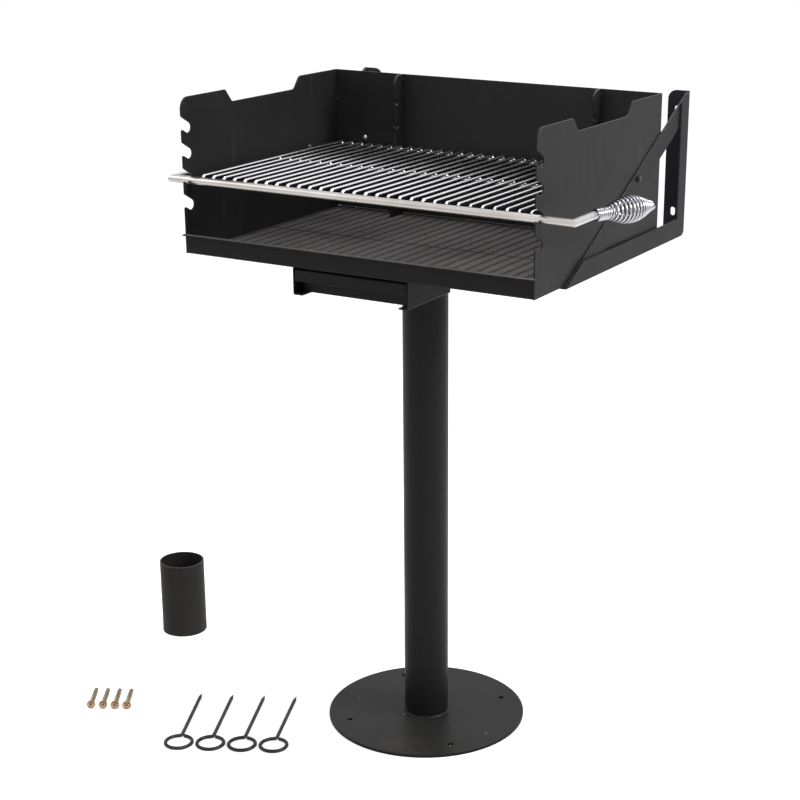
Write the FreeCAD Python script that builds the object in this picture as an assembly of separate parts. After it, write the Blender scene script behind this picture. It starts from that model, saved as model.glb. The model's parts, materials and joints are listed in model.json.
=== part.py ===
import FreeCAD, Part
import math
import os

V = FreeCAD.Vector
X_AXIS = V(1, 0, 0)
Y_AXIS = V(0, 1, 0)
Z_AXIS = V(0, 0, 1)
ORIGIN = V(0, 0, 0)

# All sizes are in millimetres. The origin is the centre of the base plate's underside.
# +Z is up, the open front of the firebox faces -Y and +X is to the right of someone facing it.

# Base plate and post
base_d = 331.0
base_t = 5.0
base_edge = 0.8
base_bolt_circle = 270.0
base_hole_d = 10.0
base_hole_count = 4
base_first_hole_deg = 47.0
post_d = 73.3
post_wall = 2.5
post_len = 795.5
foot_weld = 3.0

# Flange on top of the post, held by studs that are welded under the firebox floor
flange_w = 150.0
flange_t = 5.0
flange_corner = 12.0
flange_stud_spacing = 120.0
flange_stud_d = 8.0
flange_nut_af = 13.0
flange_nut_h = 6.5
bolt_hole_slack = 0.8
thread_slack = 0.1
bolt_end = 3.0
stud_chamfer = 0.6

# Firebox of bent sheet
sheet = 2.0
box_w = 600.0
box_d = 431.0
box_h = 237.0
bend_r = 2.5
lip_h = 30.5
lip_fold = 8.0
wall_corner = 18.0
dip_w_top = 204.0
dip_w_bottom = 171.0
dip_depth = 20.0
dip_front_round = 6.0
dip_rear_round = 11.0
rivet_x = 242.5
rivet_h = 125.5
rivet_d = 5.0
rivet_head_d = 9.0
rivet_head_h = 2.6

# Slanted hook notches in the front edges of the side walls, and in the rear fins
notch_w = 16.0
notch_reach = 15.3
notch_rise_deg = 29.5
notch_count = 4
notch_pitch = 39.1
lowest_notch_h = 73.5
notch_tip = 2.5
notch_mouth = 4.5
resting_notch = 1
rear_notch_w = 7.5
rear_notch_reach = 6.5
fin_t = 3.0
fin_depth = 26.0
fin_corner = 16.0
fin_foot_reach = 15.0
fin_foot_h = 40.0
fin_foot_corner = 8.0
left_fin_rod = 5
left_fin_offset = 11.6
right_fin_rod = 24
right_fin_offset = 7.4

# Brackets that carry the firebox and reach back to a wall
angle_leg = 30.0
angle_t = 3.0
angle_corner = 10.0
wall_leg = 35.5
wall_leg_corner = 14.0
brace_t = 2.0
brace_w = 34.0
bracket_reach = 101.0
upright_drop = 7.0
arm_setback = 90.5
slot_w = 8.5
slot_len = 14.0
slot_inset = 19.8
low_slot_h = 37.7
high_slot_drop = 31.5
brace_bolt_y = 127.5
brace_bolt_inset = 11.7
brace_bolt_d = 5.0
brace_head_d = 9.5
brace_head_h = 2.8
brace_nut_af = 8.0
brace_nut_h = 4.0

# Ash drawer in its channel under the floor
channel_x = -3.6
channel_w = 199.0
channel_h = 41.0
channel_d = 125.6
rail_w = 16.0
drawer_side_gap = 4.0
drawer_rest_gap = 0.3
drawer_end_gap = 2.0
drawer_h = 35.2
drawer_sheet = 1.5
drawer_setback = 17.5
pull_drop = 16.5
pull_side_gap = 1.5
ash_slot_w = 150.0
ash_slot_d = 50.0
ash_slot_setback = 38.0

# Cooking grate
seat_gap = 0.3
touch_gap = 0.1
bar_d = 12.0
grate_overhang = 40.0
grate_shift = 10.0
arm_len = 62.3
arm_bend_r = 20.0
handle_flare_deg = 20.5
rod_d = 5.0
rod_count = 30
rod_wall_gap = 17.6
rods_shift = 4.4
rod_end_bend = 3.5
rod_end_offset = 3.5
rod_tail = 1.5
cross_d = 5.5
cross_rise = 2.35
cross_overhang = 5.0
mid_cross_y = 7.0

# Coil handles of wound wire
wire_d = 3.2
grip_gap = 0.2
close_pitch = 3.8
open_pitch = 6.7
neck_turns = 7
open_turns = 9
tip_turns = 7
pitch_ramp = 1.5
neck_len = 22.0
belly_d = 39.2
belly_at = 0.49
tip_d = 13.0
tip_taper = 1.3
turn_parts = 4
arm_in_coil = 34.0

# Loose fixing kit on the ground beside the base
sleeve_d = 81.0
sleeve_wall = 3.0
sleeve_len = 138.5
sleeve_x = -569.2
sleeve_y = 72.0
kit_count = 4
peg_wire_d = 6.0
peg_ring_d = 49.5
peg_len = 201.0
peg_point = 14.0
peg_neck_r = 6.0
peg_ring_gap = 1.2
peg_first_x = -297.6
peg_first_y = -299.8
peg_step_x = 47.4
peg_step_y = 22.4
peg_heading_deg = 114.6
peg_heading_step = -0.9
anchor_stud_d = 6.0
anchor_sleeve_d = 8.0
anchor_sleeve_len = 54.0
anchor_slit = 1.2
anchor_cone_len = 8.0
anchor_washer_d = 15.0
anchor_washer_t = 1.6
anchor_nut_af = 10.0
anchor_nut_h = 5.0
anchor_thread_out = 5.0
anchor_first_x = -505.4
anchor_first_y = -273.0
anchor_step_x = 18.4
anchor_step_y = 9.1
anchor_heading_deg = 122.0

# Heights and planes worked out from the sizes above
floor_z = base_t + post_len + flange_t
floor_top = floor_z + sheet
rim_z = floor_z + box_h
half_w = box_w / 2
front_y = -box_d / 2
rear_y = box_d / 2
inner_x = half_w - sheet
back_inner_y = rear_y - sheet
lowest_notch_z = floor_z + lowest_notch_h
notch_rise = math.radians(notch_rise_deg)
fin_front_y = back_inner_y - fin_depth

leg_inner_x = half_w + brace_t
leg_outer_x = leg_inner_x + angle_t
bracket_z = floor_z - angle_t
bracket_top = rim_z - upright_drop
bracket_rear_y = rear_y + bracket_reach
arm_front_y = front_y + arm_setback
brace_rise = math.atan2(bracket_top - bracket_z, bracket_rear_y - arm_front_y)

channel_z = floor_z - channel_h
channel_rear_y = front_y + channel_d
drawer_z = channel_z + sheet + drawer_rest_gap
drawer_top = drawer_z + drawer_h
drawer_half_w = channel_w / 2 - sheet - drawer_side_gap
drawer_front_y = front_y + drawer_setback
drawer_rear_y = channel_rear_y - sheet - drawer_end_gap

bar_drop = notch_w / 2 - bar_d / 2 - seat_gap
bar_y = front_y + notch_reach
bar_z = lowest_notch_z + resting_notch * notch_pitch - bar_drop
cross_drop = rear_notch_w / 2 - cross_d / 2 - seat_gap
rear_cross_y = fin_front_y + rear_notch_reach
cross_z = bar_z + cross_rise
rod_z = cross_z + cross_d / 2 + rod_d / 2 + touch_gap
rods_half = inner_x - rod_wall_gap
rod_pitch = 2 * rods_half / (rod_count - 1)
grate_half = half_w + grate_overhang
coil_turns = neck_turns + open_turns + tip_turns


def box(x0, x1, y0, y1, z0, z1):
    return Part.makeBox(x1 - x0, y1 - y0, z1 - z0, V(x0, y0, z0))


def cylinder(diameter, length, start, direction):
    return Part.makeCylinder(diameter / 2, length, start, direction)


def outline(points, thickness):
    """Plate with a closed outline of (y, z) points, from x = 0 to x = thickness."""
    corners = [V(0, y, z) for y, z in points]
    face = Part.Face(Part.makePolygon(corners + corners[:1]))
    return face.extrude(V(thickness, 0, 0))


def edges_along(shape, direction, test):
    """Straight edges parallel to a direction whose middle passes the test."""
    found = []
    for edge in shape.Edges:
        if edge.Curve.TypeId != "Part::GeomLine":
            continue
        if abs(abs(edge.tangentAt(edge.FirstParameter) * direction) - 1) > 1e-6:
            continue
        if test(edge.CenterOfMass):
            found.append(edge)
    return found


def rounded(shape, radius, direction, test):
    return shape.makeFillet(radius, edges_along(shape, direction, test))


def near(a, b):
    return abs(a - b) < 0.01


def mirrored(shape):
    return shape.mirror(ORIGIN, X_AXIS)


def moved(shape, x, y, z):
    copy = shape.copy()
    copy.translate(V(x, y, z))
    return copy


def joined(first, *others):
    return first.fuse(list(others)).removeSplitter()


def hex_prism(across_flats, height):
    """Hexagonal prism that stands on the XY plane, centred on Z."""
    radius = across_flats / math.sqrt(3)
    corners = [
        V(radius * math.cos(math.radians(60 * k)), radius * math.sin(math.radians(60 * k)), 0)
        for k in range(7)
    ]
    return Part.Face(Part.makePolygon(corners)).extrude(V(0, 0, height))


def nut(across_flats, height, thread_d):
    """Nut on the XY plane with its six corners chamfered by a cone."""
    body = hex_prism(across_flats, height)
    corner_r = across_flats / math.sqrt(3)
    flare = height * 2
    low = Part.makeCone(across_flats / 2, across_flats / 2 + flare, flare, ORIGIN, Z_AXIS)
    high = Part.makeCone(across_flats / 2 + flare, across_flats / 2, flare, V(0, 0, height - flare), Z_AXIS)
    body = body.common(low).common(high)
    bore = cylinder(thread_d + 2 * thread_slack, height + 2 * corner_r, V(0, 0, -corner_r), Z_AXIS)
    return body.cut(bore)


def round_head_bolt(thread_d, head_d, head_h, length):
    """Bolt with a low domed head above the XY plane and its shank below it."""
    ball_r = (head_d ** 2 / 4 + head_h ** 2) / (2 * head_h)
    ball = Part.makeSphere(ball_r, V(0, 0, head_h - ball_r))
    head = ball.common(cylinder(head_d + 2, head_h + 1, ORIGIN, Z_AXIS))
    shank = cylinder(thread_d, length, V(0, 0, -length), Z_AXIS)
    shank = shank.makeChamfer(stud_chamfer, edges_of_circle(shank, -length))
    return joined(head, shank)


def edges_of_circle(shape, z):
    return [
        edge
        for edge in shape.Edges
        if edge.Curve.TypeId == "Part::GeomCircle" and near(edge.Curve.Center.z, z)
    ]


# Base and post


def base_holes():
    spots = []
    for k in range(base_hole_count):
        turn = math.radians(base_first_hole_deg + 360 / base_hole_count * k)
        spots.append((base_bolt_circle / 2 * math.cos(turn), base_bolt_circle / 2 * math.sin(turn)))
    return spots


def base_plate():
    plate = cylinder(base_d, base_t, ORIGIN, Z_AXIS)
    plate = plate.makeChamfer(base_edge, edges_of_circle(plate, base_t))
    for x, y in base_holes():
        plate = plate.cut(cylinder(base_hole_d, base_t + 2, V(x, y, -1), Z_AXIS))
    return plate


def post_tube():
    """Round tube with the weld bead at its foot."""
    bead = Part.makeCone(post_d / 2 + foot_weld, post_d / 2, foot_weld, V(0, 0, base_t), Z_AXIS)
    tube = joined(cylinder(post_d, post_len, V(0, 0, base_t), Z_AXIS), bead)
    return tube.cut(cylinder(post_d - 2 * post_wall, post_len, V(0, 0, base_t), Z_AXIS))


def flange_spots():
    reach = flange_stud_spacing / 2
    return [(sx * reach, sy * reach) for sx in (-1, 1) for sy in (-1, 1)]


def flange_stud_hole(x, y):
    start = V(x, y, floor_z - flange_t - 1)
    return cylinder(flange_stud_d + bolt_hole_slack, flange_t + 2, start, Z_AXIS)


def post_flange():
    half = flange_w / 2
    plate = box(-half, half, -half, half, floor_z - flange_t, floor_z)
    plate = rounded(plate, flange_corner, Z_AXIS, lambda p: True)
    for x, y in flange_spots():
        plate = plate.cut(flange_stud_hole(x, y))
    return plate


def flange_studs():
    """Studs that hang from the underside of the firebox floor."""
    length = flange_t + flange_nut_h + bolt_end
    stud = cylinder(flange_stud_d, length, V(0, 0, -length), Z_AXIS)
    stud = stud.makeChamfer(stud_chamfer, edges_of_circle(stud, -length))
    return Part.makeCompound([moved(stud, x, y, floor_z) for x, y in flange_spots()])


def flange_nuts():
    one = nut(flange_nut_af, flange_nut_h, flange_stud_d)
    z = floor_z - flange_t - flange_nut_h
    return Part.makeCompound([moved(one, x, y, z) for x, y in flange_spots()])


# Firebox


def notch_level(k):
    return lowest_notch_z + k * notch_pitch


def notch_cutter(width, y, z, reach, thickness):
    """Round-ended slot that rises towards the front, from x = 0 to x = thickness."""
    out = V(0, -math.cos(notch_rise), math.sin(notch_rise))
    up = V(0, math.sin(notch_rise), math.cos(notch_rise))
    end = V(0, y, z)
    half = width / 2
    top = end + up * half
    low = end - up * half
    round_end = Part.Arc(top, end - out * half, low).toShape()
    sides = Part.makePolygon([low, low + out * reach, top + out * reach, top])
    face = Part.Face(Part.Wire([round_end] + sides.Edges))
    return face.extrude(V(thickness, 0, 0))


def is_mouth_corner(p):
    """Corner that a notch leaves in the wall's front edge."""
    return near(p.y, front_y) and floor_z + 1 < p.z < rim_z - wall_corner - 1


def is_hook_tip(p):
    """Lower corner of a notch's mouth, which lies near the notch's own level."""
    level = (p.z - lowest_notch_z) / notch_pitch
    return is_mouth_corner(p) and (level + 0.25) % 1 < 0.5


def right_side_wall():
    """Wall at x = inner_x to half_w, with the dip in its top edge and its hook notches."""
    wall = outline(
        [
            (front_y, floor_z),
            (rear_y, floor_z),
            (rear_y, rim_z),
            (dip_w_top / 2, rim_z),
            (dip_w_bottom / 2, rim_z - dip_depth),
            (-dip_w_bottom / 2, rim_z - dip_depth),
            (-dip_w_top / 2, rim_z),
            (front_y, rim_z),
        ],
        sheet,
    )
    dip_edge = dip_w_top / 2 + 1
    wall = rounded(wall, dip_front_round, X_AXIS, lambda p: -dip_edge < p.y < 0 and p.z > floor_z + 1)
    wall = rounded(wall, dip_rear_round, X_AXIS, lambda p: 0 < p.y < dip_edge and p.z > floor_z + 1)
    wall = rounded(wall, wall_corner, X_AXIS, lambda p: near(p.y, front_y) and near(p.z, rim_z))
    for k in range(notch_count):
        wall = wall.cut(notch_cutter(notch_w, bar_y, notch_level(k), 2 * notch_reach, sheet))
    wall = rounded(wall, notch_tip, X_AXIS, is_hook_tip)
    wall = rounded(wall, notch_mouth, X_AXIS, lambda p: is_mouth_corner(p) and not is_hook_tip(p))
    wall.translate(V(inner_x, 0, 0))
    hole = brace_bolt_hole()
    return wall.cut(hole)


def brace_bolt_spot():
    """Place of the bolt that joins the brace to the side wall."""
    top_edge = bracket_z + (brace_bolt_y - arm_front_y) * math.tan(brace_rise)
    return brace_bolt_y, top_edge - brace_bolt_inset / math.cos(brace_rise)


def brace_bolt_hole():
    y, z = brace_bolt_spot()
    length = 4 * (sheet + brace_t)
    return cylinder(brace_bolt_d + bolt_hole_slack, length, V(half_w - length / 2, y, z), X_AXIS)


def back_wall():
    wall = box(-inner_x, inner_x, back_inner_y, rear_y, floor_z, rim_z)
    for side in (-1, 1):
        start = V(side * rivet_x, back_inner_y - 1, floor_z + rivet_h)
        wall = wall.cut(cylinder(rivet_d + 2 * thread_slack, sheet + 2, start, Y_AXIS))
    return wall


def back_rivets():
    """Two rivets through the back wall, with their round heads inside the firebox."""
    rivet = round_head_bolt(rivet_d, rivet_head_d, rivet_head_h, sheet + rivet_head_h / 2)
    rivet.rotate(ORIGIN, X_AXIS, 90)
    spots = [V(side * rivet_x, back_inner_y, floor_z + rivet_h) for side in (-1, 1)]
    return Part.makeCompound([moved(rivet, spot.x, spot.y, spot.z) for spot in spots])


def firebox_tray():
    """Floor with the front lip, bent up from one sheet, and the lip's edge folded forward."""
    lip_top = floor_z + lip_h
    floor = box(-inner_x, inner_x, front_y, back_inner_y, floor_z, floor_top)
    lip = box(-inner_x, inner_x, front_y, front_y + sheet, floor_z, lip_top)
    fold_end = box(-inner_x, inner_x, front_y - 1, front_y + sheet, lip_top - sheet, lip_top)
    fold = box(-half_w, half_w, front_y - lip_fold, front_y, lip_top - sheet, lip_top)
    tray = joined(floor, lip, fold_end, fold)
    tray = rounded(tray, bend_r, X_AXIS, lambda p: near(p.y, front_y) and near(p.z, floor_z))
    tray = rounded(tray, bend_r, X_AXIS, lambda p: near(p.y, front_y + sheet) and near(p.z, lip_top))
    slot_front = front_y + ash_slot_setback
    half = ash_slot_w / 2
    slot_rear = slot_front + ash_slot_d
    slot = box(channel_x - half, channel_x + half, slot_front, slot_rear, floor_z - 1, floor_top + 1)
    return tray.cut(slot)


def rod_x(k):
    return rods_shift - rods_half + k * rod_pitch


def grate_fin(x):
    """Upright plate on the back wall, with notches for the rear crossbar and a foot on the floor."""
    foot_front = fin_front_y - fin_foot_reach
    foot_top = floor_top + fin_foot_h
    fin = outline(
        [
            (foot_front, floor_top),
            (back_inner_y, floor_top),
            (back_inner_y, rim_z),
            (fin_front_y, rim_z),
            (fin_front_y, foot_top),
            (foot_front, foot_top),
        ],
        fin_t,
    )
    fin = rounded(fin, fin_corner, X_AXIS, lambda p: near(p.y, fin_front_y) and near(p.z, rim_z))
    fin = rounded(fin, fin_foot_corner, X_AXIS, lambda p: near(p.y, foot_front) and near(p.z, foot_top))
    for k in range(notch_count):
        z = notch_level(k) - bar_drop + cross_rise + cross_drop
        fin = fin.cut(notch_cutter(rear_notch_w, rear_cross_y, z, 4 * rear_notch_reach, fin_t))
    fin.translate(V(x - fin_t / 2, 0, 0))
    return fin


# Brackets


def mitre_side(keep_low):
    """Half space below or above the 45 degree line through the bracket's rear lower corner."""
    far = 2 * (box_d + box_h)
    corner = V(0, bracket_rear_y, bracket_z)
    up_front = V(0, -far, far)
    side = V(0, -far, -far) if keep_low else V(0, far, far)
    points = [corner - up_front, corner + up_front, corner + up_front + side, corner - up_front + side]
    face = Part.Face(Part.makePolygon(points + points[:1]))
    return face.extrude(V(2 * far, 0, 0))


def bracket_side():
    """L-shaped outer side of the bracket, before its arm and upright are parted.

    Both its ends are cut along the line of the brace's upper edge."""
    inner_y = bracket_rear_y - angle_leg
    inner_z = bracket_z + angle_leg
    slope = math.tan(brace_rise)
    tip_y = arm_front_y + angle_leg / slope
    side = outline(
        [
            (arm_front_y, bracket_z),
            (bracket_rear_y, bracket_z),
            (bracket_rear_y, bracket_top),
            (inner_y, bracket_top - angle_leg * slope),
            (inner_y, inner_z),
            (tip_y, inner_z),
        ],
        angle_t,
    )
    return rounded(
        side, angle_corner, X_AXIS, lambda p: near(p.y, bracket_rear_y) and near(p.z, bracket_z)
    )


def right_support_arm():
    side = moved(bracket_side(), leg_inner_x, 0, 0).common(mitre_side(True))
    shelf_end = bracket_rear_y - angle_corner
    shelf = box(leg_outer_x - angle_leg, leg_inner_x, arm_front_y, shelf_end, bracket_z, floor_z)
    return joined(side, shelf)


def right_wall_upright():
    side = moved(bracket_side(), leg_inner_x, 0, 0).common(mitre_side(False))
    edge_x = leg_outer_x - wall_leg
    front = bracket_rear_y - angle_t
    leg = box(edge_x, leg_inner_x, front, bracket_rear_y, bracket_z + angle_corner, bracket_top)
    leg = rounded(leg, wall_leg_corner, Y_AXIS, lambda p: near(p.x, edge_x) and near(p.z, bracket_top))
    upright = joined(side, leg)
    for z in (bracket_z + low_slot_h, bracket_top - high_slot_drop):
        upright = upright.cut(wall_slot(leg_outer_x - slot_inset, z))
    return upright


def wall_slot(x, z):
    """Upright slot for a wall screw, cut through the upright's wall leg."""
    half = (slot_len - slot_w) / 2
    y0 = bracket_rear_y - angle_t - 1
    depth = angle_t + 2
    middle = box(x - slot_w / 2, x + slot_w / 2, y0, y0 + depth, z - half, z + half)
    ends = [cylinder(slot_w, depth, V(x, y0, z + end * half), Y_AXIS) for end in (-1, 1)]
    return middle.fuse(ends)


def right_brace():
    """Flat bar between the side wall and the bracket, from the arm's front to the upright's top."""
    drop = brace_w / math.cos(brace_rise)
    rear = bracket_rear_y - angle_t
    slope = math.tan(brace_rise)
    rear_top = bracket_z + (rear - arm_front_y) * slope
    low_front = arm_front_y + (floor_z - bracket_z) / slope
    low_rear = arm_front_y + (floor_z + drop - bracket_z) / slope
    bar = outline(
        [(low_front, floor_z), (low_rear, floor_z), (rear, rear_top - drop), (rear, rear_top)], brace_t
    )
    return moved(bar, half_w, 0, 0).cut(brace_bolt_hole())


def right_brace_bolt():
    y, z = brace_bolt_spot()
    bolt = round_head_bolt(
        brace_bolt_d, brace_head_d, brace_head_h, sheet + brace_t + brace_nut_h + bolt_end / 2
    )
    bolt.rotate(ORIGIN, Y_AXIS, -90)
    return moved(bolt, inner_x, y, z)


def right_brace_nut():
    y, z = brace_bolt_spot()
    one = nut(brace_nut_af, brace_nut_h, brace_bolt_d)
    one.rotate(ORIGIN, Y_AXIS, 90)
    return moved(one, half_w + brace_t, y, z)


# Ash drawer


def drawer_channel():
    """Sheet channel under the floor with inward rails at its bottom and a back stop."""
    half = channel_w / 2
    side = box(half - sheet, half, front_y, channel_rear_y, channel_z, floor_z)
    rail = box(half - rail_w, half, front_y, channel_rear_y, channel_z, channel_z + sheet)
    stop = box(-half, half, channel_rear_y - sheet, channel_rear_y, channel_z, floor_z)
    channel = joined(side, rail, mirrored(side), mirrored(rail), stop)
    channel = rounded(channel, bend_r, Y_AXIS, lambda p: near(abs(p.x), half) and near(p.z, channel_z))
    return moved(channel, channel_x, 0, 0)


def ash_drawer():
    """Open tray whose front edge is folded forward and down into a pull."""
    half = drawer_half_w
    pull_half = channel_w / 2 - sheet - pull_side_gap
    outer = box(-half, half, drawer_front_y, drawer_rear_y, drawer_z, drawer_top)
    t = drawer_sheet
    inner = box(
        -half + t, half - t, drawer_front_y + t, drawer_rear_y - t, drawer_z + t, drawer_top + 1
    )
    tray = outer.cut(inner)
    shelf = box(-pull_half, pull_half, front_y, drawer_front_y + t, drawer_top - t, drawer_top)
    pull = box(-pull_half, pull_half, front_y, front_y + t, drawer_top - pull_drop, drawer_top)
    drawer = joined(tray, shelf, pull)
    drawer = rounded(drawer, t, X_AXIS, lambda p: near(p.y, front_y) and near(p.z, drawer_top))
    return moved(drawer, channel_x, 0, 0)


# Cooking grate


def beyond_mitre():
    """Half space on the rear outer side of the 45 degree mitre through the origin."""
    size = 8 * grate_half
    half_space = Part.makeBox(size, size, size, V(0, -size / 2, -size / 2))
    half_space.rotate(ORIGIN, Z_AXIS, 45)
    return half_space


def grate_corner(side):
    return V(grate_shift + side * grate_half, bar_y, bar_z)


def grate_front_bar():
    left = grate_corner(-1)
    bar = cylinder(bar_d, 2 * grate_half + 4 * bar_d, left - V(2 * bar_d, 0, 0), X_AXIS)
    right_cut = beyond_mitre()
    right_cut.translate(grate_corner(1))
    left_cut = mirrored(beyond_mitre())
    left_cut.translate(left)
    return bar.cut(right_cut).cut(left_cut)


def handle_direction():
    flare = math.radians(handle_flare_deg)
    return V(math.sin(flare), math.cos(flare), 0)


def handle_start():
    """Where the straight end of the right arm begins, seen from the grate's corner."""
    tangent = arm_bend_r * math.tan(math.radians(handle_flare_deg) / 2)
    return V(0, arm_len, 0) + handle_direction() * tangent


def right_arm_at_origin():
    """Arm that runs back from the mitred corner and turns outward into the handle."""
    flare = math.radians(handle_flare_deg)
    tangent = arm_bend_r * math.tan(flare / 2)
    bend_start = V(0, arm_len - tangent, 0)
    centre = bend_start + V(arm_bend_r, 0, 0)
    bend_mid = centre + V(-math.cos(flare / 2), math.sin(flare / 2), 0) * arm_bend_r
    bend_end = handle_start()
    tip = bend_end + handle_direction() * arm_in_coil
    start = V(0, -2 * bar_d, 0)
    path = Part.Wire(
        [
            Part.LineSegment(start, bend_start).toShape(),
            Part.Arc(bend_start, bend_mid, bend_end).toShape(),
            Part.LineSegment(bend_end, tip).toShape(),
        ]
    )
    return tube_along(path, bar_d, start, Y_AXIS).common(beyond_mitre())


def tube_along(path, diameter, start, direction):
    profile = Part.Wire([Part.makeCircle(diameter / 2, start, direction)])
    shell = Part.BRepOffsetAPI.MakePipeShell(path)
    shell.add(profile)
    shell.build()
    shell.makeSolid()
    return shell.shape()


def grate_rods():
    """Thin rods, bent down onto the front bar and hooked over the rear crossbar."""
    front = bar_y + rod_end_offset
    hook_r = cross_d / 2 + rod_d / 2 + touch_gap
    diagonal = math.sqrt(0.5)
    low = V(0, front, bar_z + rod_d / 2)
    front_down = V(0, front, rod_z - rod_end_bend)
    front_mid = V(0, front + rod_end_bend * (1 - diagonal), rod_z - rod_end_bend * (1 - diagonal))
    front_flat = V(0, front + rod_end_bend, rod_z)
    rear_flat = V(0, rear_cross_y, rod_z)
    rear_mid = V(0, rear_cross_y + hook_r * diagonal, rod_z - hook_r * (1 - diagonal))
    rear_down = V(0, rear_cross_y + hook_r, rod_z - hook_r)
    path = Part.Wire(
        [
            Part.LineSegment(low, front_down).toShape(),
            Part.Arc(front_down, front_mid, front_flat).toShape(),
            Part.LineSegment(front_flat, rear_flat).toShape(),
            Part.Arc(rear_flat, rear_mid, rear_down).toShape(),
            Part.LineSegment(rear_down, rear_down - V(0, 0, rod_tail)).toShape(),
        ]
    )
    rod = tube_along(path, rod_d, low, Z_AXIS)
    rod = rod.cut(cylinder(bar_d, 4 * rod_d, V(-2 * rod_d, bar_y, bar_z), X_AXIS))
    return Part.makeCompound([moved(rod, rod_x(k), 0, 0) for k in range(rod_count)])


def grate_crossbar(y):
    start = V(rod_x(0) - cross_overhang, y, cross_z)
    return cylinder(cross_d, 2 * (rods_half + cross_overhang), start, X_AXIS)


# Coil handles


def ramped(turns_past):
    """Turns past a change of pitch, when the change is spread evenly over the ramp."""
    if abs(turns_past) < pitch_ramp / 2:
        return (turns_past + pitch_ramp / 2) ** 2 / (2 * pitch_ramp)
    return max(turns_past, 0)


def coil_place(turn):
    """Distance along the handle: close turns at the neck and the tip, open ones between."""
    wide = ramped(turn - neck_turns) - ramped(turn - neck_turns - open_turns)
    return turn * close_pitch + wide * (open_pitch - close_pitch)


def coil_radius(turn):
    """Radius of the wire's middle line at a number of turns from the coil's mouth."""
    neck_r = bar_d / 2 + grip_gap + wire_d / 2
    belly_r = (belly_d - wire_d) / 2
    tip_r = (tip_d - wire_d) / 2
    part = (coil_place(turn) - neck_len) / (coil_place(coil_turns) - neck_len)
    if part <= 0:
        return neck_r
    if part <= belly_at:
        return neck_r + (belly_r - neck_r) * math.sin(math.pi / 2 * part / belly_at)
    past_belly = min((part - belly_at) / (1 - belly_at), 1)
    return tip_r + (belly_r - tip_r) * math.cos(math.pi / 2 * past_belly) ** tip_taper


def coil_point(turn):
    angle = 2 * math.pi * turn
    radius = coil_radius(turn)
    return V(radius * math.cos(angle), coil_place(turn) + wire_d / 2, radius * math.sin(angle))


def coil_tangent(turn):
    step = 0.002
    ahead = coil_point(min(turn + step, coil_turns))
    behind = coil_point(max(turn - step, 0))
    return (ahead - behind).normalize()


def arc_between(start, direction, end):
    """Arc that leaves start along direction and arrives at end."""
    chord = end - start
    middle = start + chord * 0.5
    away = direction * chord.Length - chord * (direction * chord / chord.Length)
    if away.Length < 1e-9:
        return Part.LineSegment(start, end).toShape()
    cos_half = direction * chord / chord.Length
    sin_half = math.sqrt(max(0.0, 1 - cos_half * cos_half))
    sagitta = chord.Length / 2 * (1 - cos_half) / sin_half
    return Part.Arc(start, middle + away.normalize() * sagitta, end).toShape()


def biarc(start, start_dir, end, end_dir):
    """Two arcs that join two points with the tangents given at both."""
    chord = end - start
    both = start_dir + end_dir
    spread = 2 * (1 - start_dir * end_dir)
    reach = (math.sqrt((chord * both) ** 2 + spread * (chord * chord)) - chord * both) / spread
    middle = (start + end + (start_dir - end_dir) * reach) * 0.5
    back = arc_between(end, end_dir * -1, middle)
    back.reverse()
    return [arc_between(start, start_dir, middle), back]


def coil_gap(points_per_turn=48):
    """Least distance between the coil's own turns, measured on points of its middle line."""
    total = coil_turns * points_per_turn
    points = [coil_point(k / points_per_turn) for k in range(total + 1)]
    least = min(
        points[k].distanceToPoint(points[j])
        for k in range(total + 1)
        for j in range(k + points_per_turn // 2, min(k + 2 * points_per_turn, total + 1))
    )
    return least - wire_d


def coil_at_origin():
    """Wire wound along +Y from the origin: a close neck and a spindle-shaped grip."""
    stations = [k / turn_parts for k in range(coil_turns * turn_parts + 1)]
    arcs = []
    for here, there in zip(stations, stations[1:]):
        arcs += biarc(coil_point(here), coil_tangent(here), coil_point(there), coil_tangent(there))
    path = Part.Wire(arcs)
    return tube_along(path, wire_d, coil_point(0), coil_tangent(0))


def right_coil_handle(coil):
    handle = coil.copy()
    handle.rotate(ORIGIN, Z_AXIS, -handle_flare_deg)
    handle.translate(handle_start())
    return handle


# Loose fixing kit


def ground_sleeve():
    spot = V(sleeve_x, sleeve_y, 0)
    tube = cylinder(sleeve_d, sleeve_len, spot, Z_AXIS)
    return tube.cut(cylinder(sleeve_d - 2 * sleeve_wall, sleeve_len, spot, Z_AXIS))


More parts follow.
